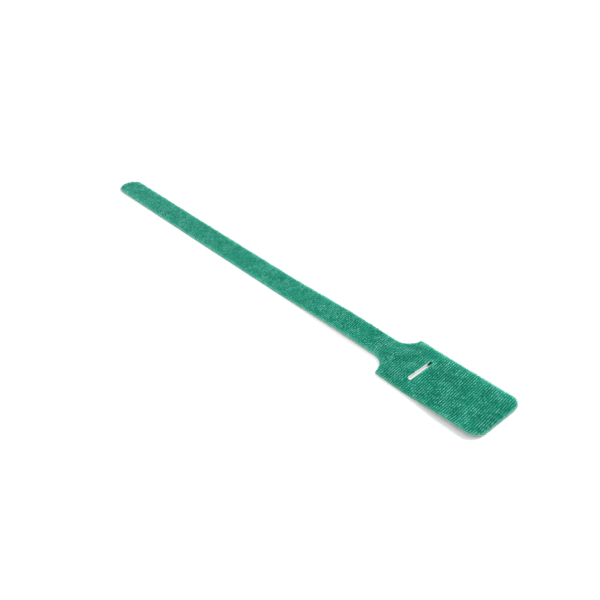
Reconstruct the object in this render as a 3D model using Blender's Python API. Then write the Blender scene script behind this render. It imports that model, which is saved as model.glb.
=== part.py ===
# Hook and loop cable tie, in metres, lying on its hook face with +Z up.
# It is one blank, die-cut from a ribbed knitted tape: a wide head with a slot
# across it, and a long narrow tail that passes through the slot.
# +X runs from the head to the tip of the tail, and the origin is on the
# surface that the tie lies on, under the middle of its length.

import math

import bmesh
import bpy

# Outline of the cut blank
tie_length = 0.2794
tail_width = 0.0127
tip_depth = 0.0059
head_length = 0.0532
head_width = 0.0283
head_corner_radius = 0.0056
shoulder_radius = 0.0088

# Slot across the head, wide enough for the tail to pass
slot_centre = 0.0408
slot_width = 0.0021
slot_clearance = 0.0019
slot_corner_radius = 0.0004

# Tape: its full thickness, and the ribs of the knit on its upper face
tape_thickness = 0.00125
rib_height = 0.00028
rib_pitch = 0.00102
rib_lean_angle = math.radians(6.8)
rib_facets = 6

# How the tie lies: the near end and the tip rise a little off the surface,
# the neck arches over it, and two flat stretches rest on it
near_rise_run = 0.0140
near_rise = 0.00035
head_rest_length = 0.0160
neck_arch = 0.00125
tail_rest_length = 0.0400
tip_rise_run = 0.1044
tip_rise = 0.0006
rise_facets = 12
head_rest_end = near_rise_run + head_rest_length
tail_rest_end = tie_length - tip_rise_run
tail_rest_start = tail_rest_end - tail_rest_length

# The head's +Y side curls up towards its cut edge, fully near its end and
# less and less towards the slot
side_lift = 0.0013
side_lift_width = 0.0065
side_lift_full = 0.0120
side_lift_fade = 0.0300
side_lift_facets = 5

# Facets of the round stretches of the outline
corner_facets = 10
shoulder_facets = 12
tip_facets = 20
slot_corner_facets = 3

# Cutters reach this far past what they cut
cut_margin = 0.0020

# Faces that are bent by more than this are split into flat ones
nonplanar_limit = math.radians(0.01)

loop_colour = (0.042, 0.309, 0.212, 1.0)


def clear_scene():
    for old in list(bpy.data.objects):
        bpy.data.objects.remove(old, do_unlink=True)


def make_material(name, colour, roughness):
    material = bpy.data.materials.new(name)
    material.use_nodes = True
    shader = material.node_tree.nodes["Principled BSDF"]
    shader.inputs["Base Color"].default_value = colour
    shader.inputs["Roughness"].default_value = roughness
    shader.inputs["Metallic"].default_value = 0.0
    return material


def arc_points(centre, radii, start, end, facets):
    """Points along part of an ellipse, both ends included, angles in radians."""
    steps = [start + (end - start) * i / facets for i in range(facets + 1)]
    return [(centre[0] + radii[0] * math.cos(a), centre[1] + radii[1] * math.sin(a)) for a in steps]


def blank_outline():
    """The blank's outline, x from the head's near end, going round once."""
    half_head = head_width / 2
    half_tail = tail_width / 2
    corner = min(head_corner_radius, half_head)
    side = arc_points((corner, half_head - corner), (corner, corner),
                      math.pi, math.pi / 2, corner_facets)

    # The shoulder is a hollow arc that runs out along the tail's edge. An arc
    # larger than the step from tail to head stops where it meets the head's side.
    overshoot = max(0.0, half_tail + shoulder_radius - half_head)
    meeting_angle = math.asin(overshoot / shoulder_radius)
    shoulder_x = head_length + shoulder_radius * math.cos(meeting_angle)
    if overshoot == 0.0:
        side.append((head_length, half_head))
    side += arc_points((shoulder_x, half_tail + shoulder_radius),
                       (shoulder_radius, shoulder_radius),
                       math.pi + meeting_angle, 1.5 * math.pi, shoulder_facets)

    # The tip is half an ellipse, and this side stops at its middle
    half_tip_facets = tip_facets // 2
    side += arc_points((tie_length - tip_depth, 0.0), (tip_depth, half_tail),
                       math.pi / 2, 0.0, half_tip_facets)
    other_side = [(x, -y) for x, y in side[-2::-1]]
    return side + other_side


def slot_outline():
    """A rounded rectangle that the tail passes through with its clearance."""
    half_width = slot_width / 2
    half_length = (tail_width + slot_clearance) / 2
    corner = min(slot_corner_radius, half_width)
    points = []
    for quarter, (sx, sy) in enumerate(((1, 1), (-1, 1), (-1, -1), (1, -1))):
        centre = (slot_centre + sx * (half_width - corner), sy * (half_length - corner))
        points += arc_points(centre, (corner, corner), quarter * math.pi / 2,
                             (quarter + 1) * math.pi / 2, slot_corner_facets)
    return points


def side_lift_at(x, y):
    """How far the head's curled side is lifted, x from the head's near end."""
    across = max(0.0, (y - head_width / 2 + side_lift_width) / side_lift_width)
    fade = min(max((x - side_lift_full) / side_lift_fade, 0.0), 1.0)
    return side_lift * across ** 2 * math.cos(fade * math.pi / 2) ** 2


def rise_at(x):
    """Height of the underside over the surface, x from the head's near end."""
    if x < near_rise_run:
        return near_rise * ((near_rise_run - x) / near_rise_run) ** 2
    if head_rest_end < x < tail_rest_start:
        share = (x - head_rest_end) / (tail_rest_start - head_rest_end)
        return neck_arch * math.sin(math.pi * share) ** 2
    if x > tail_rest_end:
        return tip_rise * ((x - tail_rest_end) / tip_rise_run) ** 2
    return 0.0


def spread(start, end, facets):
    return [start + (end - start) * i / facets for i in range(facets + 1)]


def tape_profile():
    """The tape's side view: ribs along the top, the lie of the tie below."""
    overrun = cut_margin + head_width * math.tan(rib_lean_angle)
    first = -math.ceil(overrun / rib_pitch)
    last = math.ceil((tie_length + overrun) / rib_pitch)

    # One rib is half a sine wave, so the valleys between ribs are creases
    top = []
    for i in range((last - first) * rib_facets + 1):
        x = (first + i / rib_facets) * rib_pitch
        wave = math.sin(math.pi * (i % rib_facets) / rib_facets)
        top.append((x, rise_at(x) + tape_thickness - rib_height + rib_height * wave))

    stations = spread(first * rib_pitch, near_rise_run, rise_facets)
    stations += spread(side_lift_full, side_lift_full + side_lift_fade, rise_facets)
    stations += spread(head_rest_end, tail_rest_start, 2 * rise_facets)
    stations += spread(tail_rest_end, last * rib_pitch, rise_facets)
    bottom = [(x, rise_at(x)) for x in sorted(set(stations), reverse=True)]
    return top + bottom


def swept_mesh(corners, sweeps):
    """A closed mesh: the face through the corners, swept along each vector in turn."""
    bm = bmesh.new()
    start = bm.faces.new([bm.verts.new(corner) for corner in corners])
    end = start
    for sweep in sweeps:
        swept = bmesh.ops.extrude_face_region(bm, geom=[end])["geom"]
        if end is not start:
            bmesh.ops.delete(bm, geom=[end], context="FACES_ONLY")
        end = next(item for item in swept if isinstance(item, bmesh.types.BMFace))
        bmesh.ops.translate(bm, verts=end.verts, vec=sweep)
    bmesh.ops.recalc_face_normals(bm, faces=bm.faces)
    return bm


def add_object(name, bm):
    mesh = bpy.data.meshes.new(name)
    bm.to_mesh(mesh)
    bm.free()
    item = bpy.data.objects.new(name, mesh)
    item.location = (-tie_length / 2, 0.0, 0.0)
    bpy.context.scene.collection.objects.link(item)
    return item


def add_cutter(name, outline):
    low = -cut_margin
    high = tape_thickness + near_rise + neck_arch + tip_rise + side_lift + cut_margin
    corners = [(x, y, low) for x, y in outline]
    cutter = add_object(name, swept_mesh(corners, [(0.0, 0.0, high - low)]))
    cutter.hide_render = True
    cutter.display_type = "WIRE"
    return cutter


def add_boolean(item, cutter, operation):
    cut = item.modifiers.new(cutter.name, "BOOLEAN")
    cut.object = cutter
    cut.operation = operation
    cut.solver = "EXACT"


def build_tie():
    # The tape is wider than the blank, and its ribs lean across it. It is swept
    # in one step up to the side that curls up, and in short ones over that side.
    half_sweep = head_width / 2 + cut_margin
    lean = math.tan(rib_lean_angle)
    corners = [(x + lean * half_sweep, -half_sweep, z) for x, z in tape_profile()]
    rows = [-half_sweep]
    rows += spread(head_width / 2 - side_lift_width, half_sweep, side_lift_facets)
    steps = [after - before for before, after in zip(rows, rows[1:])]
    bm = swept_mesh(corners, [(-lean * step, step, 0.0) for step in steps])
    for vertex in bm.verts:
        vertex.co.z += side_lift_at(vertex.co.x, vertex.co.y)
    bmesh.ops.connect_verts_nonplanar(bm, angle_limit=nonplanar_limit, faces=bm.faces)

    tie = add_object("cable_tie", bm)
    tie.data.materials.append(make_material("loop_face", loop_colour, 0.9))
    tie.data.shade_smooth()
    tie.data.set_sharp_from_angle(angle=math.radians(35))
    add_boolean(tie, add_cutter("blank_die", blank_outline()), "INTERSECT")
    add_boolean(tie, add_cutter("slot_punch", slot_outline()), "DIFFERENCE")
    triangles = tie.modifiers.new("triangles", "TRIANGULATE")
    triangles.ngon_method = "BEAUTY"


clear_scene()
build_tie()
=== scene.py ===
import math

import bpy
import numpy as np
from mathutils import Matrix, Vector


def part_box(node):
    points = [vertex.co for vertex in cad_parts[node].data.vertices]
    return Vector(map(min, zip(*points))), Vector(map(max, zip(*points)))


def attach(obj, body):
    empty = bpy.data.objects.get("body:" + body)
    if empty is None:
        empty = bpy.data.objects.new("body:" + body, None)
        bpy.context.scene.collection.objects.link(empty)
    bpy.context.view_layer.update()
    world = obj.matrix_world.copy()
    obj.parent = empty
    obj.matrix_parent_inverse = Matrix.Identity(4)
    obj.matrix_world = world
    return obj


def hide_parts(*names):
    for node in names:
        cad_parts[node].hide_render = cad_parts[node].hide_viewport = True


# Hook and loop cable tie: a knitted loop face over a film of moulded hooks.
# Metres; the head is at -X, the tip of the tail at +X, and the tie lies at Z = 0.

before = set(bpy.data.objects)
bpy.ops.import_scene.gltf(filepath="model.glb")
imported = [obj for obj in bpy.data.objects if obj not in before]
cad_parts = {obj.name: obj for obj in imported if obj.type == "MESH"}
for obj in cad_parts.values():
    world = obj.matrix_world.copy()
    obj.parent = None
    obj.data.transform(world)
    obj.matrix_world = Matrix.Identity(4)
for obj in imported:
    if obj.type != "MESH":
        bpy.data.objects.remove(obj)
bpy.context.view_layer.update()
print("frame loaded")

tieLow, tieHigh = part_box("cable_tie")
tieLength = tieHigh[0] - tieLow[0]
headWidth = tieHigh[1] - tieLow[1]
nearEnd = tieLow[0]

outline = {
    "tailWidth": 0.0127,
    "tipDepth": 0.0059,
    "headLength": 0.0532,
    "cornerRadius": 0.0056,
    "shoulderRadius": 0.0088,
    "slotCentre": 0.0408,
    "slotWidth": 0.0021,
    "slotLength": 0.0146,
}
slotHalfWidth, slotHalfLength = outline["slotWidth"] / 2, outline["slotLength"] / 2

lie = {
    "nearRun": 0.0140,
    "nearRise": 0.00035,
    "headRestEnd": 0.0300,
    "neckArch": 0.00125,
    "tailRestStart": 0.1350,
    "tailRestEnd": 0.1750,
    "tipRise": 0.0006,
    "sideLift": 0.0013,  # the head's +Y side curls up towards its cut edge
    "sideLiftWidth": 0.0065,
    "sideLiftFull": 0.0120,
    "sideLiftFade": 0.0300,
}

ribs = {
    "pitch": 0.00102,  # one crosswise rib of the knit
    "lean": math.tan(math.radians(6.8)),  # run along X for each metre across
}

layers = {  # heights over the underside of the hooks
    "filmLow": 0.00026,
    "filmHigh": 0.00040,
    "ground": 0.00097,
    "ribLift": 0.00012,
    "lowGap": 0.00002,  # the film is lifted by this, so its turned-down edge stays clear
    "burrReach": 0.00008,  # how far in from the cut edge the film turns down
    "edgeDrop": 0.00008,  # how much lower the knit is at the cut edge
    "edgeReach": 0.00035,
}

# Paler cut edges: partly roughed-up cut fibres, partly painted rim light, strongest on the -Y side
# that faces the lamp
paleEdgeAndRimLight = {
    "reach": 0.00065,
    "shares": ((0.60, 0.10), (1.0, 0.80)),  # head then tail, -Y then +Y
    "headShare": 0.40,  # a wider pale band along the head's -Y side
    "headReach": 0.0022,
    "headFade": 0.0060,
}


def shoulderEnd():
    # Where the hollow shoulder arc meets the tail's side, by Pythagoras
    arc = outline["shoulderRadius"]
    over = outline["tailWidth"] / 2 + arc - headWidth / 2
    return outline["headLength"] + math.sqrt(arc ** 2 - over ** 2)


def halfWidthAt(x):
    # Quarter circle at the head's corner, straight side, hollow shoulder arc,
    # straight tail, half ellipse at the tip. x runs from the near end.
    half, tail = headWidth / 2, outline["tailWidth"] / 2
    corner, arc = outline["cornerRadius"], outline["shoulderRadius"]
    arcEnd, tipStart = shoulderEnd(), tieLength - outline["tipDepth"]
    inCorner = half - corner + np.sqrt(np.clip(corner ** 2 - (corner - x) ** 2, 0, None))
    inArc = tail + arc - np.sqrt(np.clip(arc ** 2 - (arcEnd - x) ** 2, 0, None))
    inTip = tail * np.sqrt(np.clip(1 - ((x - tipStart) / outline["tipDepth"]) ** 2, 0, 1))
    return np.select(
        [x < corner, x < outline["headLength"], x < arcEnd, x < tipStart],
        [inCorner, np.full_like(x, half), inArc, np.full_like(x, tail)], inTip)


def riseAt(x):
    # Parabola up to the near end, squared sine over the neck, parabola up to the tip
    nearPart = lie["nearRise"] * ((lie["nearRun"] - x) / lie["nearRun"]) ** 2
    share = (x - lie["headRestEnd"]) / (lie["tailRestStart"] - lie["headRestEnd"])
    neckPart = lie["neckArch"] * np.sin(np.pi * np.clip(share, 0, 1)) ** 2
    tipPart = lie["tipRise"] * ((x - lie["tailRestEnd"]) / (tieLength - lie["tailRestEnd"])) ** 2
    nearPart = np.where(x < lie["nearRun"], nearPart, 0)
    return nearPart + neckPart + np.where(x > lie["tailRestEnd"], tipPart, 0)


def sideLiftAt(x, y):
    # Square of the share across the curled side, faded along by a squared cosine
    across = np.clip((y - headWidth / 2 + lie["sideLiftWidth"]) / lie["sideLiftWidth"], 0, None)
    fade = np.clip((x - lie["sideLiftFull"]) / lie["sideLiftFade"], 0, 1)
    return lie["sideLift"] * across ** 2 * np.cos(fade * np.pi / 2) ** 2


def lieAt(x, y):
    # Height of the underside: the rise follows the leaning ribs, the side lift does not
    return riseAt(x + ribs["lean"] * y) + sideLiftAt(x, y)


def edgeDistance(x, y):
    # Distance in from the cut edge, roughly: the least of those to the side, ends and slot
    side = halfWidthAt(x) - np.abs(y)
    slotX = np.abs(x - outline["slotCentre"]) - slotHalfWidth
    slotY = np.abs(y) - slotHalfLength
    slot = np.where((slotX < 0) & (slotY < 0), np.maximum(slotX, slotY),
                    np.hypot(np.clip(slotX, 0, None), np.clip(slotY, 0, None)))
    return np.minimum(np.minimum(side, x), np.minimum(slot, tieLength - x))


def rimLightAndPaleEdgeAt(x, y):
    # Paleness of the edge, partly roughed-up fibres, partly painted rim light: an exponential of the
    # distance in from it, times the share of that side, and a wider one along the head's -Y side that
    # fades past the head
    onTail, plusY = (x >= outline["headLength"]).astype(int), (y > 0).astype(int)
    share = np.array(paleEdgeAndRimLight["shares"])[onTail, plusY]
    rim = share * np.exp(-np.clip(edgeDistance(x, y), 0, None) / paleEdgeAndRimLight["reach"])
    onHead = np.clip((outline["headLength"] - x) / paleEdgeAndRimLight["headFade"] + 1, 0, 1)
    band = np.exp(-np.clip(halfWidthAt(x) + y, 0, None) / paleEdgeAndRimLight["headReach"])
    return rim + paleEdgeAndRimLight["headShare"] * onHead * band


def groundAt(x, y):
    # Knit ground: lie of the tie, plus half sine ribs, less a drop towards the cut edge
    along = x + ribs["lean"] * y
    wave = np.abs(np.sin(np.pi * along / ribs["pitch"]))
    drop = layers["edgeDrop"] * np.exp(-np.clip(edgeDistance(x, y), 0, None) / layers["edgeReach"])
    return lieAt(x, y) + layers["ground"] + layers["ribLift"] * wave - drop


def addMesh(name, points, faces, smooth=True, attributes=None):
    # points: n by 3 in the frame; faces: a list of index arrays, each m by 3 or m by 4
    mesh = bpy.data.meshes.new(name)
    sizes = np.concatenate([np.full(len(block), block.shape[1]) for block in faces])
    corners = np.concatenate([block.ravel() for block in faces])
    mesh.vertices.add(len(points))
    mesh.vertices.foreach_set("co", points.astype(np.float32).ravel())
    mesh.loops.add(len(corners))
    mesh.loops.foreach_set("vertex_index", corners.astype(np.int32))
    mesh.polygons.add(len(sizes))
    starts = np.concatenate([[0], np.cumsum(sizes)[:-1]])
    mesh.polygons.foreach_set("loop_start", starts.astype(np.int32))
    mesh.polygons.foreach_set("loop_total", sizes.astype(np.int32))
    mesh.polygons.foreach_set("use_smooth", np.full(len(sizes), smooth))
    for key, values in (attributes or {}).items():
        layer = mesh.attributes.new(key, "FLOAT", "POINT")
        layer.data.foreach_set("value", values.astype(np.float32).ravel())
    mesh.update()
    mesh.validate()
    piece = bpy.data.objects.new(name, mesh)
    bpy.context.scene.collection.objects.link(piece)
    return piece


def countTriangles(piece):
    piece.data.calc_loop_triangles()
    return len(piece.data.loop_triangles)


# Shader steps: a part is a plain value, or a socket to link from

def feed(tree, socket, part):
    if isinstance(part, bpy.types.NodeSocket):
        tree.links.new(part, socket)
    else:
        socket.default_value = part


def maths(tree, operation, *parts):
    step = tree.nodes.new("ShaderNodeMath")
    step.operation = operation
    for socket, part in zip(step.inputs, parts):
        feed(tree, socket, part)
    return step.outputs[0]


def blend(tree, kind, factor, first, second):
    step = tree.nodes.new("ShaderNodeMix")
    step.data_type = kind
    for name, part in (("Factor", factor), ("A", first), ("B", second)):
        feed(tree, step.inputs[name], part)
    return step.outputs["Result"]


def runBetween(tree, part, reach, ends=(0.0, 1.0), form="LINEAR"):
    # Goes from one end value to the other while the part crosses its reach
    step = tree.nodes.new("ShaderNodeMapRange")
    step.interpolation_type = form
    for name, value in zip(("From Min", "From Max", "To Min", "To Max"), (*reach, *ends)):
        step.inputs[name].default_value = value
    feed(tree, step.inputs["Value"], part)
    return step.outputs["Result"]


def placeOf(tree):
    # X, Y and Z of the shaded place, in metres of the frame
    place = tree.nodes.new("ShaderNodeTexCoord")
    split = tree.nodes.new("ShaderNodeSeparateXYZ")
    feed(tree, split.inputs[0], place.outputs["Object"])
    return split.outputs


def alongTie(tree, reach, ends):
    # A smooth run between two places along X
    return runBetween(tree, placeOf(tree)["X"], reach, ends, "SMOOTHSTEP")


# Materials

tones = {
    "loop": (0.045, 0.485, 0.340),
    "loopDeep": (0.005, 0.235, 0.142),
    "loopPale": (0.238, 0.762, 0.612),
    # Whitish veil for the tail towards the tip: painted sheen
    "wash": (0.110, 0.310, 0.260),
    # Fuzz tones, paler than the loop yarn: the fine fibres' own tone with painted sheen
    "fuzz": (0.350, 0.745, 0.635),
    "fuzzPale": (0.620, 0.900, 0.820),
    # Ground tones, darker than the loop yarn: painted shade in the grooves between the ribs
    "groundDeep": (0.002, 0.100, 0.060),
    "ground": (0.007, 0.250, 0.158),
    "groundPale": (0.120, 0.580, 0.440),
    "hook": (0.225, 0.435, 0.405),
    "hookDeep": (0.165, 0.355, 0.325),
    "cutEdge": (0.100, 0.450, 0.310),
    "rim": (0.545, 0.635, 0.590),
    # Slot walls: the pale film, made paler still as painted light
    "slotDeep": (0.720, 0.700, 0.695),
    "slotWallPaintedLight": (0.800, 0.780, 0.775),
    "floor": (0.80, 0.80, 0.80),
}

yarn = {
    "noiseDetail": 2.0,
    "mottleReach": (0.34, 0.66),  # the mottle mostly keeps within these, and is spread out
    "rampEnds": (0.08, 0.95),  # where the deep and the pale tone stand on the ramp
    "sheenRoughness": 0.4,
    "fadeRun": (-0.09, -0.03),
    "washRun": (-0.09, 0.14),
}


def makeMottle():
    # Cloudy patches with a finer grain in them, as a factor around one half
    group = bpy.data.node_groups.new("yarnMottle", "ShaderNodeTree")
    face = group.interface
    for name, value in (("Patch size", 0.006), ("Grain size", 0.0007), ("Grain share", 0.4)):
        face.new_socket(name, in_out="INPUT", socket_type="NodeSocketFloat").default_value = value
    face.new_socket("Factor", in_out="OUTPUT", socket_type="NodeSocketFloat")
    inside = group.nodes.new("NodeGroupInput")
    outside = group.nodes.new("NodeGroupOutput")
    place = group.nodes.new("ShaderNodeTexCoord")
    clouds = []
    for size in ("Patch size", "Grain size"):
        noise = group.nodes.new("ShaderNodeTexNoise")
        noise.inputs["Detail"].default_value = yarn["noiseDetail"]
        feed(group, noise.inputs["Vector"], place.outputs["Object"])
        feed(group, noise.inputs["Scale"], maths(group, "DIVIDE", 1.0, inside.outputs[size]))
        clouds.append(noise.outputs["Fac"])
    factor = blend(group, "FLOAT", inside.outputs["Grain share"], *clouds)
    feed(group, outside.inputs["Factor"], factor)
    return group


mottle = makeMottle()


def yarnMaterial(name, deep, middle, pale, values, attribute=None):
    # Colour runs from deep to pale with the mottle, shifted by the piece's own attribute
    material = bpy.data.materials.new(name)
    material.use_nodes = True
    tree = material.node_tree
    shader = tree.nodes["Principled BSDF"]
    shader.inputs["Roughness"].default_value = values["roughness"]
    shader.inputs["Sheen Weight"].default_value = values["sheen"]
    shader.inputs["Sheen Roughness"].default_value = yarn["sheenRoughness"]
    shader.inputs["Specular IOR Level"].default_value = values["specular"]
    # Painted light: an emission that stands in for light coming through the thin film
    shader.inputs["Emission Color"].default_value = (*middle, 1)
    shader.inputs["Emission Strength"].default_value = values.get("glow", 0.0)
    cloud = tree.nodes.new("ShaderNodeGroup")
    cloud.node_tree = mottle
    cloud.inputs["Patch size"].default_value = values["patch"]
    cloud.inputs["Grain size"].default_value = values["grain"]
    cloud.inputs["Grain share"].default_value = values["grainShare"]
    factor = runBetween(tree, cloud.outputs["Factor"], yarn["mottleReach"])
    if "fade" in values:
        # The cloudiness weakens along the tail, towards one half
        calm = alongTie(tree, yarn["fadeRun"], (0.0, values["fade"]))
        factor = blend(tree, "FLOAT", calm, factor, 0.5)
    if attribute:
        own = tree.nodes.new("ShaderNodeAttribute")
        own.attribute_name = attribute
        factor = blend(tree, "FLOAT", values["ownShare"], factor, own.outputs["Fac"])
    ramp = tree.nodes.new("ShaderNodeValToRGB")
    for k, tone in enumerate((deep, pale)):
        ramp.color_ramp.elements[k].color = (*tone, 1)
        ramp.color_ramp.elements[k].position = yarn["rampEnds"][k]
    ramp.color_ramp.elements.new(0.5).color = (*middle, 1)
    feed(tree, ramp.inputs["Fac"], factor)
    colour = ramp.outputs["Color"]
    if "wash" in values:
        # Painted sheen: the colour greys a little towards the tip
        sheenShare = alongTie(tree, yarn["washRun"], (0.0, values["wash"]))
        colour = blend(tree, "RGBA", sheenShare, colour, (*tones["wash"], 1))
    feed(tree, shader.inputs["Base Color"], colour)
    return material


loopYarn = yarnMaterial(
    "loopYarn", tones["loopDeep"], tones["loop"], tones["loopPale"],
    {"roughness": 0.75, "sheen": 0.09, "specular": 0.06, "patch": 0.0042, "grain": 0.0006,
     "grainShare": 0.36, "ownShare": 0.48, "fade": 0.30, "wash": 0.25}, "shade")
# Edge fuzz, paler than the loop yarn, partly as painted sheen
fuzzYarn = yarnMaterial(
    "fuzzYarn", tones["loop"], tones["fuzz"], tones["fuzzPale"],
    {"roughness": 0.75, "sheen": 0.09, "specular": 0.06, "patch": 0.0030, "grain": 0.0006,
     "grainShare": 0.30, "ownShare": 0.60}, "shade")
# Knit ground, darker than the loop yarn as painted shade in the grooves, and paler at the cut edge,
# partly as painted rim light
shadedGroundYarn = yarnMaterial(
    "shadedGroundYarn", tones["groundDeep"], tones["ground"], tones["groundPale"],
    {"roughness": 0.90, "sheen": 0.0, "specular": 0.03, "patch": 0.007, "grain": 0.0004,
     "grainShare": 0.5, "ownShare": 0.70}, "rim")
cutEdge = yarnMaterial(
    "cutEdge", tones["rim"], tones["cutEdge"], tones["loop"],
    {"roughness": 0.7, "sheen": 0.10, "specular": 0.25, "patch": 0.004, "grain": 0.0003,
     "grainShare": 0.5, "ownShare": 0.75}, "layer")
# Slot walls: pale film brightened and glowing, as painted light
slotWallPaintedLight = yarnMaterial(
    "slotWallPaintedLight", tones["slotDeep"], tones["slotWallPaintedLight"], tones["slotWallPaintedLight"],
    {"roughness": 0.7, "sheen": 0.0, "specular": 0.2, "patch": 0.004, "grain": 0.0003,
     "grainShare": 0.5, "glow": 0.14})
hookPlastic = yarnMaterial(
    "hookPlastic", tones["hookDeep"], tones["hook"], tones["rim"],
    {"roughness": 0.42, "sheen": 0.0, "specular": 0.45, "patch": 0.010, "grain": 0.0012,
     "grainShare": 0.3, "ownShare": 0.35}, "shade")
hookFilm = yarnMaterial(
    "hookFilm", tones["hookDeep"], tones["hook"], tones["hook"],
    {"roughness": 0.50, "sheen": 0.0, "specular": 0.40, "patch": 0.010, "grain": 0.0010,
     "grainShare": 0.3})
print("materials made")


# Tape body: film, knit ground and cut edges as one closed mesh

tape = {
    "stationsPerRib": 4,
    "stationGap": 0.4,  # an even station within this share of a step of a bend is left out
    "sideRows": 6,  # grid rows from the slot's end out to the side
    "rimShare": 0.965,  # one more row close to the cut edge
    "slotRows": 8,  # grid rows along the slot
    "arcStep": math.radians(7.5),
    "tipStop": math.radians(86),
    "wallRings": 3,
    "wallBulge": 0.00005,
    "sharpAngle": math.radians(50),
}


def tapeStations():
    # Even steps along the ribs, with the round stretches stepped by angle
    corner, arc, tip = outline["cornerRadius"], outline["shoulderRadius"], outline["tipDepth"]
    arcEnd = shoulderEnd()
    turn = np.arange(0, math.pi / 2, tape["arcStep"])
    bends = np.concatenate([
        corner * (1 - np.cos(turn)),
        arcEnd - arc * np.sin(turn[arc * np.sin(turn) < arcEnd - outline["headLength"]]),
        tieLength - tip + tip * np.sin(np.append(turn[turn < tape["tipStop"]], tape["tipStop"])),
        [outline["headLength"]],
        outline["slotCentre"] + np.array([-0.5, 0.5]) * outline["slotWidth"],
    ])
    step = ribs["pitch"] / tape["stationsPerRib"]
    even = np.arange(0, bends.max(), step)
    gap = np.abs(even[:, None] - bends[None, :]).min(axis=1)
    stations = np.sort(np.concatenate([bends, even[gap > tape["stationGap"] * step]]))
    return stations[np.concatenate([[True], np.diff(stations) > 1e-6])]


def tapeRows():
    # Shares of the half width: even steps along the slot, then out to each side
    slotShare = outline["slotLength"] / headWidth
    side = np.linspace(slotShare, 1, tape["sideRows"])
    side = np.concatenate([side[:-1], [tape["rimShare"], 1]])
    middle = np.linspace(-slotShare, slotShare, tape["slotRows"] + 1)
    return np.concatenate([-side[:0:-1], middle, side[1:]])


def gridRing(columns, rows, width):
    # Indices round a block of a grid, once, with the block on the left seen from above
    (c0, c1), (r0, r1) = columns, rows
    alongLow = [(c, r0) for c in range(c0, c1)]
    upFar = [(c1, r) for r in range(r0, r1)]
    alongHigh = [(c, r1) for c in range(c1, c0, -1)]
    downNear = [(c0, r) for r in range(r1, r0, -1)]
    ring = np.array(alongLow + upFar + alongHigh + downNear)
    return ring[:, 0] * width + ring[:, 1]


def wallFaces(ringHigh, ringLow, points, shades):
    # Rings between the upper and the lower one, which bulge by a half sine, joined by
    # quads that face outwards
    high, low = points[ringHigh], points[ringLow]
    ahead = np.roll(high, -1, axis=0) - np.roll(high, 1, axis=0)
    outward = np.stack([ahead[:, 1], -ahead[:, 0]], axis=1)
    outward /= np.linalg.norm(outward, axis=1)[:, None] + 1e-12
    count, start = len(ringHigh), len(points)
    chain = [ringHigh]
    extra, extraShades = [], []
    for k in range(1, tape["wallRings"]):
        share = k / tape["wallRings"]
        ring = high * (1 - share) + low * share
        ring[:, :2] += outward * tape["wallBulge"] * math.sin(math.pi * share)
        extra.append(ring)
        extraShades.append(np.full(count, 1 - share))
        chain.append(start + (k - 1) * count + np.arange(count))
    chain.append(ringLow)
    faces = []
    for upper, lower in zip(chain[:-1], chain[1:]):
        faces.append(np.stack([upper, lower, np.roll(lower, -1), np.roll(upper, -1)], axis=1))
    points = np.concatenate([points] + extra)
    shades = np.concatenate([shades] + extraShades)
    return points, shades, np.concatenate(faces)


def makeTape():
    x, rows = tapeStations(), tapeRows()
    inSlot = np.abs(x - outline["slotCentre"]) <= slotHalfWidth + 1e-7
    slotColumns = inSlot.nonzero()[0][[0, -1]]
    slotRows = tape["sideRows"], tape["sideRows"] + tape["slotRows"]
    y = halfWidthAt(x)[:, None] * rows[None, :]
    x = np.repeat(x[:, None], len(rows), axis=1)
    top = np.stack([x + nearEnd, y, groundAt(x, y)], axis=2).reshape(-1, 3)
    # The film turns down at every cut edge, as an exponential of the distance from it
    turnDown = np.exp(-np.clip(edgeDistance(x, y), 0, None) / layers["burrReach"])
    filmAt = layers["filmLow"] * (1 - turnDown) + layers["lowGap"]
    low = np.stack([x + nearEnd, y, lieAt(x, y) + filmAt], axis=2).reshape(-1, 3)
    wide, count = len(rows), len(top)
    points = np.concatenate([top, low])
    shades = np.concatenate([np.ones(count), np.zeros(count)])

    # Quads of the upper and the lower face, with none in the slot
    cell = np.arange(len(x) - 1)[:, None] * wide + np.arange(wide - 1)[None, :]
    keep = np.ones(cell.shape, dtype=bool)
    keep[slice(*slotColumns), slice(*slotRows)] = False
    cell = cell[keep]
    topFaces = np.stack([cell, cell + wide, cell + wide + 1, cell + 1], axis=1)
    lowFaces = topFaces[:, ::-1] + count

    outer = gridRing((0, len(x) - 1), (0, wide - 1), wide)
    inner = gridRing(slotColumns, slotRows, wide)[::-1]
    points, shades, sideWalls = wallFaces(outer, outer + count, points, shades)
    points, shades, slotWalls = wallFaces(inner, inner + count, points, shades)

    # The ground is paler at the cut edge too, partly as painted rim light
    groundPaleAndRimLit = np.concatenate([rimLightAndPaleEdgeAt(x, y).ravel(), np.zeros(len(points) - count)])
    piece = addMesh("tapeBody", points, [topFaces, lowFaces, sideWalls, slotWalls],
                    attributes={"layer": shades, "rim": groundPaleAndRimLit})
    for material in (shadedGroundYarn, hookFilm, cutEdge, slotWallPaintedLight):
        piece.data.materials.append(material)
    onGround, onFilm, onCut, onSlot = range(4)
    # The slot's two long walls show the pale film, brightened as painted light, and its ends the dark
    # ground, as painted shade
    slotRun = np.abs(points[np.roll(inner, -1)] - points[inner])
    slotSkins = np.where(slotRun[:, 1] > slotRun[:, 0], onSlot, onGround)
    skins = np.concatenate([
        np.full(len(topFaces), onGround), np.full(len(lowFaces), onFilm),
        np.full(len(sideWalls), onCut), np.tile(slotSkins, tape["wallRings"])])
    piece.data.polygons.foreach_set("material_index", skins.astype(np.int32))
    piece.data.set_sharp_from_angle(angle=tape["sharpAngle"])
    return piece


tapeBody = makeTape()
print("tape body made,", countTriangles(tapeBody), "triangles")


# Filaments: closed slim tubes with pointed ends, used for yarn, pile, edge fuzz and hooks

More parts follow.
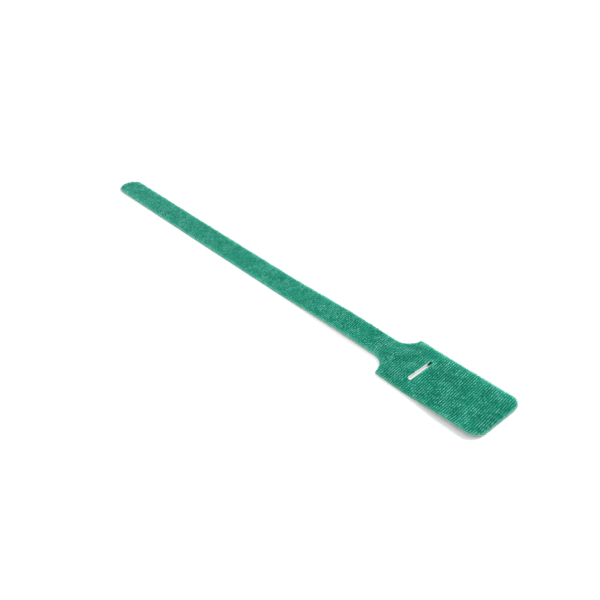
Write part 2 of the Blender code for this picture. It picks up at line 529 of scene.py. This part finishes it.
def filamentMesh(paths, radii, shades, sides=3):
    # paths: n by s by 3. Each ring is the path point plus radius times
    # cos and sin of the turn on two axes square to the path.
    count, steps = paths.shape[:2]
    ahead = np.gradient(paths, axis=1)
    ahead /= np.linalg.norm(ahead, axis=2)[:, :, None]
    guide = np.cross(paths[:, -1] - paths[:, 0], [0.0, 0.0, 1.0])
    short = np.linalg.norm(guide, axis=1) < 1e-9
    guide[short] = [0.0, 1.0, 0.0]
    across = np.cross(np.repeat(guide[:, None], steps, axis=1), ahead)
    across /= np.linalg.norm(across, axis=2)[:, :, None] + 1e-15
    beside = np.cross(ahead, across)
    turn = np.arange(sides) * 2 * np.pi / sides
    ring = (across[:, 1:-1, None] * np.cos(turn)[None, None, :, None]
            + beside[:, 1:-1, None] * np.sin(turn)[None, None, :, None])
    ring = paths[:, 1:-1, None] + ring * radii[:, 1:-1, None, None]
    inner = (steps - 2) * sides
    points = np.concatenate([paths[:, :1], ring.reshape(count, inner, 3), paths[:, -1:]], axis=1)

    one = np.arange(sides)
    after = np.roll(one, -1)
    quad = np.stack([one, after, sides + after, sides + one], axis=1)
    bases = 1 + np.arange(steps - 3) * sides
    quads = (quad[None] + bases[:, None, None]).reshape(-1, 4)
    last = 1 + (steps - 3) * sides
    startCap = np.stack([np.zeros(sides, int), 1 + after, 1 + one], axis=1)
    endCap = np.stack([np.full(sides, inner + 1), last + one, last + after], axis=1)
    caps = np.concatenate([startCap, endCap])
    offset = (np.arange(count) * (inner + 2))[:, None, None]
    allQuads = (quads[None] + offset).reshape(-1, 4)
    allCaps = (caps[None] + offset).reshape(-1, 3)
    return points.reshape(-1, 3), [allQuads, allCaps], np.repeat(shades, inner + 2)


def cutPieces(name, filaments, material, cuts=()):
    # The same filaments as several pieces, split where the cuts say along the tie
    starts, paths, radii, shades = filaments
    bounds = [-math.inf, *cuts, math.inf]
    made = []
    for k, (low, high) in enumerate(zip(bounds[:-1], bounds[1:])):
        mine = (starts >= low) & (starts < high)
        points, faces, shade = filamentMesh(paths[mine], radii[mine], shades[mine])
        piece = addMesh(f"{name}{k + 1}", points, faces, attributes={"shade": shade})
        piece.data.materials.append(material)
        print(piece.name, "made,", countTriangles(piece), "triangles")
        made.append(piece)
    return made


# Loop face: arched stitches of yarn packed along each crosswise rib

stitches = {
    "spacing": 0.00080,
    "extraRibs": (3, 6),  # before the near end and past the tip, because the ribs lean
    "span": 0.00108,
    "spanRange": (0.85, 1.15),
    "strands": 3,
    "strandSpread": 0.00016,
    "slant": 0.00006,
    "height": 0.00022,
    "heightRange": (0.75, 1.15),  # of whole stitches
    "strandRange": (0.85, 1.1),  # and of the strands in them
    "sideDrop": 0.28,  # share by which the outer strands are lower
    "edgeDrop": 0.5,  # and by which a stitch at the cut edge is
    "radius": 0.000105,
    "radiusRange": (0.8, 1.1),
    "endRadius": 0.55,  # share of the radius at a strand's ends
    "pathPoints": 6,
    "sink": 0.00005,
    "edgeGap": 0.00008,
    "edgeOver": -0.00002,
    "endGap": 0.00005,
    "stepJitter": 0.1,
    "placeJitter": 0.00004,
    "ribJitter": 0.6,  # share of that for a whole stitch, along X
    "tailJitter": 3.3,  # times both on the tail, where the pile hides the ribs
    "tailRun": (0.0385, 0.0530),
    "shadeSpread": 0.31,
    "strandShades": 0.11,
    # paler at the cut edge, partly as painted rim light
    "edgePale": 0.75,
    "tailCalm": 0.60,
    "tailPale": 0.020,
    "neckPale": 0.10,
    "neckPlace": 0.057,
    "neckReach": 0.011,
    "cuts": (0.070, 0.170),
    "seed": 11,
}


def looseAt(x):
    # How ragged the pile is: one on the head, growing as a straight line over the neck
    start, stop = stitches["tailRun"]
    return 1 + (stitches["tailJitter"] - 1) * np.clip((x - start) / (stop - start), 0, 1)


def stitchPlaces(values, rng):
    # One place for each stitch: rib number times pitch along, step times spacing across,
    # with every second rib half a step over
    before, past = values["extraRibs"]
    rib = np.arange(-before, int(tieLength / ribs["pitch"]) + past)[:, None] + 0.5
    acrossCount = int(headWidth / values["spacing"]) + 2
    step = np.arange(acrossCount)[None, :] - acrossCount / 2
    step = step + 0.5 * (np.arange(len(rib))[:, None] % 2)
    step = step + rng.uniform(-values["stepJitter"], values["stepJitter"], step.shape)
    y = step * values["spacing"]
    x = rib * ribs["pitch"] - ribs["lean"] * y
    x = x + rng.normal(0, values["placeJitter"] * values["ribJitter"], x.shape) * looseAt(x)
    inside = (x > 0) & (x < tieLength)
    inside &= edgeDistance(np.clip(x, 0, tieLength), y) > values["edgeGap"]
    return x[inside], y[inside]


def makeStitches():
    values = stitches
    rng = np.random.default_rng(values["seed"])
    x, y = stitchPlaces(values, rng)
    count, loose = len(x), looseAt(x)
    # Shades differ less where the pile is ragged. The neck is paler, as a bell curve,
    # and so are the tail and the cut edge, the cut edge partly as painted rim light.
    stitchShade = 0.5 + values["shadeSpread"] * rng.normal(0, 1, count) / loose ** values["tailCalm"]
    stitchShade += values["neckPale"] * np.exp(-((x - values["neckPlace"]) / values["neckReach"]) ** 2)
    stitchShade += values["tailPale"] * (loose - 1)
    stitchShade += values["edgePale"] * rimLightAndPaleEdgeAt(x, y)
    nearEdge = np.exp(-edgeDistance(x, y) / paleEdgeAndRimLight["reach"])
    tall = rng.uniform(*values["heightRange"], count) * (1 - values["edgeDrop"] * nearEdge)
    t = np.linspace(0, 1, values["pathPoints"])[None, :]
    arch = np.sin(np.pi * t)  # a half sine
    taper = values["endRadius"] + (1 - values["endRadius"]) * arch
    paths, radii, shades = [], [], []
    for strand in range(values["strands"]):
        side = strand - (values["strands"] - 1) / 2
        swing = rng.normal(0, values["placeJitter"], (count, 2)) * loose[:, None]
        span = values["span"] * rng.uniform(*values["spanRange"], count)
        along = y[:, None] + (t - 0.5) * span[:, None] + swing[:, :1]
        height = values["height"] * tall * (1 - values["sideDrop"] * abs(side))
        height = height * rng.uniform(*values["strandRange"], count)
        offset = side * values["strandSpread"] + (t - 0.5) * values["slant"] * 2
        pathX = x[:, None] - ribs["lean"] * (along - y[:, None]) + offset + swing[:, 1:] * arch
        pathX = np.clip(pathX, values["endGap"], tieLength - values["endGap"])
        limit = halfWidthAt(pathX) + values["edgeOver"]
        pathY = np.clip(along, -limit, limit)
        z = groundAt(pathX, pathY) - values["sink"] + height[:, None] * arch
        paths.append(np.stack([pathX + nearEnd, pathY, z], axis=2))
        swell = values["radius"] * rng.uniform(*values["radiusRange"], count)
        radii.append(swell[:, None] * taper)
        shade = stitchShade + rng.normal(0, values["strandShades"], count)
        shades.append(np.clip(shade, 0, 1))
    starts = np.tile(x, values["strands"])
    return starts, np.concatenate(paths), np.concatenate(radii), np.concatenate(shades)


stitchPieces = cutPieces("loopStitches", makeStitches(), loopYarn, stitches["cuts"])


# Hook face: rows of small moulded hooks that point to and from the head in turn

hooks = {
    "alongPitch": 0.00074,
    "acrossPitch": 0.00070,
    "reach": 0.00022,
    "reachRange": (0.85, 1.15),
    # A hook rises off the film, leans back, then curls over and ends in a point
    "curlX": (-0.35, -0.30, -0.10, 0.45, 0.95, 1.10),
    "curlZ": (0.00, 0.45, 0.80, 0.96, 0.84, 0.58),
    "radius": 0.000115,
    "taper": (1.5, 1.15, 0.80, 0.62, 0.5, 0.3),
    "edgeGap": 0.00030,
    "floorGap": 0.00001,
    "shadeSpread": 0.15,
    "cuts": (0.090,),
    "seed": 5,
}


def makeHooks():
    values = hooks
    rng = np.random.default_rng(values["seed"])
    columns = np.arange(int(tieLength / values["alongPitch"]))[:, None]
    rows = np.arange(int(headWidth / values["acrossPitch"]))[None, :]
    x, y, facing = np.broadcast_arrays(
        (columns + 0.5) * values["alongPitch"],
        (rows - (rows.shape[1] - 1) / 2) * values["acrossPitch"],
        np.where(rows % 2 == 0, 1.0, -1.0))
    inside = edgeDistance(x, y) > values["edgeGap"]
    x, y, facing = x[inside], y[inside], facing[inside]
    count = len(x)
    # Each path is the curl times the reach along X, and times the depth down from the film
    reach = values["reach"] * facing * rng.uniform(*values["reachRange"], count)
    base = lieAt(x, y) + layers["filmLow"] + layers["lowGap"]
    depth = layers["filmLow"] - layers["lowGap"]
    pathX = x[:, None] + nearEnd + np.array(values["curlX"]) * reach[:, None]
    pathY = np.repeat(y[:, None], len(values["curlX"]), axis=1)
    z = base[:, None] - np.array(values["curlZ"]) * depth
    radii = np.tile(values["radius"] * np.array(values["taper"]), (count, 1))
    z += np.clip(values["floorGap"] - (z - radii), 0, None)
    shades = np.clip(rng.normal(0.5, values["shadeSpread"], count), 0, 1)
    return x, np.stack([pathX, pathY, z], axis=2), radii, shades


hookPieces = cutPieces("hookRows", makeHooks(), hookPlastic, hooks["cuts"])


# Fine pile: thin stray loops over the stitches, in clumps

pile = {
    "perSquareMm": 0.9,
    "tries": 2.5,  # places drawn for each of them, before some are kept
    "keepShare": 0.38,
    "clump": 0.30,
    "waveX": (0.0031, 4, 0.0052),  # a clump's size along X, its bend and the bend's own size
    "waveY": (0.0027, 3, 0.0083),  # the same with X and Y changed over
    "patchPlace": (0.0515, -0.0020),
    "patchSize": 0.0100,
    "patchShare": 0.80,
    "radius": 0.000028,
    "height": 0.00030,
    "heightRange": (0.7, 1.35),
    "archPower": 0.8,  # under one, a loop is blunter than a half sine
    "span": 0.00060,
    "spanRange": (0.5, 1.4),
    "pathPoints": 7,
    "edgeGap": 0.00015,
    "endGap": 0.0001,
    "shade": 0.72,
    "shadeSpread": 0.15,
    "seed": 23,
}


def makePile():
    values = pile
    rng = np.random.default_rng(values["seed"])
    total = int(values["tries"] * values["perSquareMm"] * tieLength * headWidth * 1e6)
    x = rng.uniform(0, tieLength, total)
    y = rng.uniform(-0.5, 0.5, total) * headWidth
    # The share kept follows two sines, each bent by a slower one across it, and a
    # bell-shaped patch behind the slot
    sizeX, bendX, slowX = values["waveX"]
    sizeY, bendY, slowY = values["waveY"]
    clump = np.sin(x / sizeX + bendX * np.sin(y / slowX))
    clump += np.sin(y / sizeY + bendY * np.sin(x / slowY))
    patchX, patchY = values["patchPlace"]
    patch = np.exp(-((x - patchX) ** 2 + (y - patchY) ** 2) / values["patchSize"] ** 2)
    kept = values["keepShare"] + values["patchShare"] * patch + values["clump"] * clump
    inside = (edgeDistance(x, y) > values["edgeGap"]) & (rng.random(total) < kept)
    x, y = x[inside], y[inside]
    count = len(x)
    heading = rng.uniform(0, 2 * np.pi, count)[:, None]
    t = np.linspace(0, 1, values["pathPoints"])[None, :]
    span = values["span"] * rng.uniform(*values["spanRange"], count)[:, None]
    pathX = x[:, None] + (t - 0.5) * span * np.cos(heading)
    pathX = np.clip(pathX, values["endGap"], tieLength - values["endGap"])
    pathY = y[:, None] + (t - 0.5) * span * np.sin(heading)
    height = values["height"] * rng.uniform(*values["heightRange"], count)[:, None]
    z = groundAt(pathX, pathY) + height * np.sin(np.pi * t) ** values["archPower"]
    radii = np.full(z.shape, values["radius"])
    shades = np.clip(rng.normal(values["shade"], values["shadeSpread"], count), 0, 1)
    return x, np.stack([pathX + nearEnd, pathY, z], axis=2), radii, shades


pilePieces = cutPieces("loopPile", makePile(), loopYarn)


# Edge fuzz: cut fibre ends along the whole outline

fuzz = {
    "perMm": 44.0,
    "radius": 0.000021,
    "length": 0.00090,
    "lengthRange": (0.50, 1.05),
    "turnSpread": 0.42,
    "comb": 0.40,  # the nap is combed to -Y, where the fibres are longer
    "faceShare": 0.42,  # share that starts on the face; the others start in the wall
    "inset": 0.00040,
    "insetRange": (0.3, 1),
    "faceLift": (0.00008, 0.00026),
    "droop": 0.00030,
    "droopRange": (0.2, 1),
    "wallInset": 0.0001,
    "wallRange": (0.1, 0.9),
    "wallDroop": (-0.1, 0.4),  # mean and spread, as shares of the length
    "floorGap": 0.0001,
    "pathPoints": 3,
    "shade": 0.50,
    "shadeSpread": 0.20,
    # Painted shade: the fibres on the +Y side, away from the lamp, are darker
    "shadeDrop": 0.24,  # fibres on the +Y side are darker
    "headDrop": 1.8,  # times that on the head
    "seed": 31,
}


def edgeLine():
    # The outline's points, going round clockwise seen from above
    x = tapeStations()
    side = np.stack([x, halfWidthAt(x)], axis=1)
    return np.concatenate([side, (side * [1, -1])[::-1]])


def makeFuzz():
    values = fuzz
    rng = np.random.default_rng(values["seed"])
    loop = edgeLine()
    closed = np.concatenate([loop, loop[:1]])
    steps = np.linalg.norm(np.diff(closed, axis=0), axis=1)
    run = np.concatenate([[0], np.cumsum(steps)])
    count = int(run[-1] * 1e3 * values["perMm"])
    at = np.sort(rng.uniform(0, run[-1], count))
    x, y = np.interp(at, run, closed[:, 0]), np.interp(at, run, closed[:, 1])
    k = np.clip(np.searchsorted(run, at) - 1, 0, len(steps) - 1)
    ahead = (closed[k + 1] - closed[k]) / (steps[k][:, None] + 1e-12)
    out = np.stack([-ahead[:, 1], ahead[:, 0]], axis=1)
    turn = rng.normal(0, values["turnSpread"], count)
    turned = np.stack([out[:, 0] * np.cos(turn) - out[:, 1] * np.sin(turn),
                       out[:, 0] * np.sin(turn) + out[:, 1] * np.cos(turn)], axis=1)
    length = values["length"] * rng.uniform(*values["lengthRange"], count)
    length = length * (1 - values["comb"] * out[:, 1])
    # Fibres on the face start further in and droop over the edge with the square of
    # the way along them, and those in the wall bend a little up or down
    onFace = rng.random(count) < values["faceShare"]
    faceInset = values["inset"] * rng.uniform(*values["insetRange"], count)
    inset = np.where(onFace, faceInset, values["wallInset"])
    wallHeight = layers["ground"] - layers["filmHigh"]
    wallLevel = layers["filmHigh"] + wallHeight * rng.uniform(*values["wallRange"], count)
    faceLevel = layers["ground"] + layers["ribLift"] + rng.uniform(*values["faceLift"], count)
    faceDroop = rng.uniform(*values["droopRange"], count) * values["droop"]
    wallDroop = rng.normal(*values["wallDroop"], count) * length
    t = np.linspace(0, 1, values["pathPoints"])[None, :]
    root = np.stack([x, y], axis=1) - out * inset[:, None]
    flat = root[:, None] + (turned * length[:, None])[:, None] * t[:, :, None]
    under = lieAt(x, y)[:, None]
    z = under + np.where(onFace, faceLevel, wallLevel)[:, None]
    z = z - np.where(onFace, faceDroop, wallDroop)[:, None] * t ** 2
    z = np.maximum(z, under + values["floorGap"])
    radii = np.full(z.shape, values["radius"])
    # Painted shade: fibres that point to +Y, away from the lamp, are darker, most so on the head
    drop = values["shadeDrop"] * np.where(x < outline["headLength"], values["headDrop"], 1.0)
    shade = values["shade"] - drop * np.clip(out[:, 1], 0, 1)
    shades = np.clip(shade + rng.normal(0, values["shadeSpread"], count), 0, 1)
    return x, np.stack([flat[:, :, 0] + nearEnd, flat[:, :, 1], z], axis=2), radii, shades


fuzzPieces = cutPieces("edgeFuzz", makeFuzz(), fuzzYarn)


# Slot fringe: cut fibres over the slot's lip and in its two ends, the dark ones at the -Y end as
# painted shadow

fringe = {
    "inset": 0.0001,  # their roots are this far outside the slot
    "lipCount": 560,
    "lipCrowd": 0.8,  # power of the even draw along the slot: under one, more are at -Y
    "lipLength": 0.00090,
    "lipShort": 0.45,  # share of the length at the +Y end
    "lipRange": (0.5, 1.2),
    "lipTurn": 0.5,
    "lipLevel": (-0.00020, 0.00015),
    "lipDroop": 0.0003,
    "lipRadius": 0.000036,
    "lipTaper": (1.0, 1.0, 0.9, 0.8, 0.5),
    "lipShade": (0.50, 0.15),
    # Dark fibres at the -Y end: painted shadow
    "endCount": 190,
    "endAcross": (-0.95, 0.95),
    "endLength": 0.0025,
    "endRange": (0.35, 1.15),
    "endTurn": 0.22,
    "endLow": 0.00012,
    "endUnder": 0.0001,  # the highest start this far under the ground
    "endSink": 0.5,
    "endRadius": 0.000050,
    "endTaper": (1.0, 1.0, 0.9, 0.7, 0.4),
    "cornerCount": 110,
    "cornerLength": 0.00110,
    "cornerShort": 0.3,  # share of the length in the middle of the slot's width
    "cornerRange": (0.5, 1.1),
    "cornerLean": 0.25,
    "cornerLevel": (0.3, 1.0),
    "cornerShade": 0.1,
    "seed": 41,
}


def lipFibres(values, rng, t):
    # Pale fibres over the lip on the head's side, longest towards -Y
    count = values["lipCount"]
    share = rng.uniform(0, 1, count) ** values["lipCrowd"]
    y = slotHalfLength * (1 - 2 * share)[:, None]
    length = values["lipLength"] * (values["lipShort"] + (1 - values["lipShort"]) * share)
    length = (length * rng.uniform(*values["lipRange"], count))[:, None]
    heading = rng.normal(0, values["lipTurn"], count)[:, None]
    pathX = outline["slotCentre"] - slotHalfWidth - values["inset"] + length * t * np.cos(heading)
    pathY = np.clip(y + length * t * np.sin(heading), -slotHalfLength, slotHalfLength)
    level = layers["ground"] + rng.uniform(*values["lipLevel"], count)[:, None]
    droop = values["lipDroop"] * rng.uniform(0, 1, count)[:, None]
    z = lieAt(pathX, pathY) + level - droop * t ** 2
    return pathX, pathY, z, np.clip(rng.normal(*values["lipShade"], count), 0, 1)


def endShadowFibres(values, rng, t):
    # Dark fibres that fill the -Y end: painted shadow, standing in for the end wall's shade on the
    # floor
    count, middle = values["endCount"], outline["slotCentre"]
    x = middle + slotHalfWidth * rng.uniform(*values["endAcross"], count)
    length = values["endLength"] * rng.uniform(*values["endRange"], count)[:, None]
    heading = rng.normal(0, values["endTurn"], count)[:, None]
    pathX = x[:, None] + length * t * np.sin(heading)
    pathX = middle + np.clip(pathX - middle, -slotHalfWidth, slotHalfWidth)
    pathY = -slotHalfLength - values["inset"] + length * t * np.cos(heading)
    highest = layers["ground"] - values["endUnder"]
    level = rng.uniform(values["endLow"], highest, count)[:, None]
    sink = values["endSink"] * rng.uniform(0, 1, count)[:, None]
    return pathX, pathY, lieAt(pathX, pathY) + level * (1 - sink * t), np.zeros(count)


def cornerFibres(values, rng, t):
    # Short fibres that round the +Y end. Across the slot they start at the sine of an
    # even turn, so most are in its corners, where they are longest too.
    count = values["cornerCount"]
    across = np.sin(rng.uniform(-0.5, 0.5, count) * np.pi)
    share = values["cornerShort"] + (1 - values["cornerShort"]) * np.abs(across)
    length = values["cornerLength"] * share * rng.uniform(*values["cornerRange"], count)
    pathX = outline["slotCentre"] + slotHalfWidth * across[:, None] * (1 - values["cornerLean"] * t)
    pathY = slotHalfLength + values["inset"] - length[:, None] * t
    level = rng.uniform(*values["cornerLevel"], count)[:, None] * layers["ground"]
    return pathX, pathY, lieAt(pathX, pathY) + level, np.full(count, values["cornerShade"])


def makeFringe():
    # Two sets: the fibres of the lip with those of the +Y end, and the dark ones of the -Y end,
    # painted shadow
    values = fringe
    rng = np.random.default_rng(values["seed"])
    t = np.linspace(0, 1, len(values["lipTaper"]))[None, :]
    lip, end, corner = (make(values, rng, t) for make in (lipFibres, endShadowFibres, cornerFibres))
    lip = [np.concatenate(pair) for pair in zip(lip, corner)]
    sets = []
    for fibres, radius, taper in ((lip, "lipRadius", "lipTaper"), (end, "endRadius", "endTaper")):
        pathX, pathY, z, shades = fibres
        radii = np.tile(values[radius] * np.array(values[taper]), (len(shades), 1))
        paths = np.stack([pathX + nearEnd, pathY, z], axis=2)
        sets.append((pathX[:, 0], paths, radii, shades))
    return sets


lipSet, endShadowSet = makeFringe()
fuzzPieces += cutPieces("slotLip", lipSet, fuzzYarn)
fuzzPieces += cutPieces("slotEndShadow", endShadowSet, shadedGroundYarn)


# Floor, light and camera

studio = {
    "floorSize": 6.0,
    # Painted light on the floor, seen only by the lens, that lightens the tie's shadows
    "glowNear": 0.10,  # the floor is brighter round the tail than round the head
    "glowFar": 0.40,
    "glowRun": (-0.120, -0.080),
    "glowAside": (0.0050, 0.0064),
    "glowOut": (0.030, 0.060),  # well beside the tie it is the same all along
    "glowEnd": 0.40,  # and again in front of the near end
    "endRun": (-0.1410, -0.1385),
    # Painted shade on the floor under the slot
    "slotShade": 0.84,  # the floor under the slot is this share of its white
    "slotReach": (0.0016, 0.0026),
    "slotBeyond": (0.0005, 0.0015),  # past the slot's ends
    "worldFill": 0.90,
    "keyPlace": (-0.30, -0.95, 0.87),
    "keySize": 0.60,
    "keyPower": 14.6,
}


def seenByLens(tree):
    # One where the ray comes from the lens, a gloss or a glass, and nought elsewhere
    light = tree.nodes.new("ShaderNodeLightPath")
    seen = maths(tree, "MAXIMUM", light.outputs["Is Camera Ray"], light.outputs["Is Glossy Ray"])
    return maths(tree, "MAXIMUM", seen, light.outputs["Is Transmission Ray"])


def floorWithPaintedSlotShade(tree):
    # White, and a little darker under the slot as painted shade: the share of it is the greater of a
    # run along X away from the slot's middle and a run past the slot's ends
    place = placeOf(tree)
    away = maths(tree, "SUBTRACT", place["X"], nearEnd + outline["slotCentre"])
    beside = runBetween(tree, maths(tree, "ABSOLUTE", away), studio["slotReach"],
                        (studio["slotShade"], 1.0))
    beyondReach = [slotHalfLength + margin for margin in studio["slotBeyond"]]
    beyond = runBetween(tree, maths(tree, "ABSOLUTE", place["Y"]), beyondReach)
    share = maths(tree, "MAXIMUM", beside, beyond)
    return blend(tree, "RGBA", share, (0, 0, 0, 1), (*tones["floor"], 1))


def paintedFloorLight(tree):
    # Painted light: a glow seen only by the lens that lightens the tie's shadows on the floor. None on
    # the middle line under the tie, and all of it from the tail's edges out. It is at least that of
    # the floor well beside the tie and in front of the near end.
    aside = maths(tree, "ABSOLUTE", placeOf(tree)["Y"])
    around = alongTie(tree, studio["glowRun"], (studio["glowNear"], studio["glowFar"]))
    strength = maths(tree, "MULTIPLY", around, runBetween(tree, aside, studio["glowAside"]))
    wellBeside = runBetween(tree, aside, studio["glowOut"], (0.0, studio["glowEnd"]))
    strength = maths(tree, "MAXIMUM", strength, wellBeside)
    front = alongTie(tree, studio["endRun"], (studio["glowEnd"], 0.0))
    strength = maths(tree, "MAXIMUM", strength, front)
    return maths(tree, "MULTIPLY", strength, seenByLens(tree))


def makeFloor():
    half = studio["floorSize"] / 2
    corners = np.array([[-half, -half, 0], [half, -half, 0], [half, half, 0], [-half, half, 0]])
    floor = addMesh("studioFloor", corners, [np.array([[0, 1, 2, 3]])], smooth=False)
    material = bpy.data.materials.new("studioWhite")
    material.use_nodes = True
    tree = material.node_tree
    tree.nodes.remove(tree.nodes["Principled BSDF"])
    matt = tree.nodes.new("ShaderNodeBsdfDiffuse")
    feed(tree, matt.inputs["Color"], floorWithPaintedSlotShade(tree))
    glow = tree.nodes.new("ShaderNodeEmission")
    feed(tree, glow.inputs["Strength"], paintedFloorLight(tree))
    both = tree.nodes.new("ShaderNodeAddShader")
    feed(tree, both.inputs[0], matt.outputs[0])
    feed(tree, both.inputs[1], glow.outputs[0])
    feed(tree, tree.nodes["Material Output"].inputs["Surface"], both.outputs[0])
    floor.data.materials.append(material)
    return floor


def makeLight():
    world = bpy.data.worlds.new("studioWorld")
    bpy.context.scene.world = world
    world.use_nodes = True
    tree = world.node_tree
    sky = tree.nodes["Background"]
    sky.inputs["Color"].default_value = (1, 1, 1, 1)
    fill = runBetween(tree, seenByLens(tree), (0.0, 1.0), (studio["worldFill"], 1.0))
    feed(tree, sky.inputs["Strength"], fill)

    lamp = bpy.data.lights.new("keyLamp", "AREA")
    lamp.shape = "DISK"
    lamp.size = studio["keySize"]
    lamp.energy = studio["keyPower"]
    key = bpy.data.objects.new("keyLamp", lamp)
    place = np.array(studio["keyPlace"])
    key.location = place
    key.rotation_euler = (math.atan2(math.hypot(place[0], place[1]), place[2]), 0,
                          math.atan2(place[1], place[0]) + math.pi / 2)
    bpy.context.scene.collection.objects.link(key)


lens = {
    "aim": (-0.02426, 0.00214, 0.0),
    "distance": 0.3759,
    "azimuth": math.radians(-127.79),
    "elevation": math.radians(36.76),
    "roll": math.radians(-4.99),
    "focalPixels": 790.6,
    "framePixels": 600,
    "sensor": 36.0,
    "clipStart": 0.01,
}


def makeCamera():
    # The lens stands back from its aim along the azimuth and elevation, then rolls about its axis
    az, el, roll = lens["azimuth"], lens["elevation"], lens["roll"]
    back = np.array([math.sin(az) * math.cos(el), -math.cos(az) * math.cos(el), math.sin(el)])
    right = np.cross([0, 0, 1], back)
    right /= np.linalg.norm(right)
    up = np.cross(back, right)
    rolledRight = math.cos(roll) * right + math.sin(roll) * up
    rolledUp = -math.sin(roll) * right + math.cos(roll) * up
    data = bpy.data.cameras.new("photoLens")
    data.sensor_width = lens["sensor"]
    data.lens = lens["focalPixels"] / lens["framePixels"] * lens["sensor"]
    data.clip_start = lens["clipStart"]
    camera = bpy.data.objects.new("photoLens", data)
    turn = np.eye(4)
    turn[:3, 0], turn[:3, 1], turn[:3, 2] = rolledRight, rolledUp, back
    turn[:3, 3] = np.array(lens["aim"]) + back * lens["distance"]
    camera.matrix_world = Matrix(turn.tolist())
    bpy.context.scene.collection.objects.link(camera)
    bpy.context.scene.camera = camera


floor = makeFloor()
makeLight()
makeCamera()
bpy.context.scene.view_settings.view_transform = "Standard"
print("studio made")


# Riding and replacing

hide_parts("cable_tie")
for piece in [tapeBody] + stitchPieces + pilePieces + fuzzPieces:
    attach(piece, "root")
for piece in hookPieces:
    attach(piece, "root")

stationsX = tapeStations()
widths = halfWidthAt(stationsX)
cutArea = float(np.sum((widths[1:] + widths[:-1]) * np.diff(stationsX)))
cutArea -= outline["slotWidth"] * outline["slotLength"]

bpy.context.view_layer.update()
pieces = [tapeBody] + stitchPieces + pilePieces + fuzzPieces + hookPieces
total = sum(countTriangles(piece) for piece in pieces)
print("total", total, "triangles, cut area", round(cutArea * 1e6), "square mm")
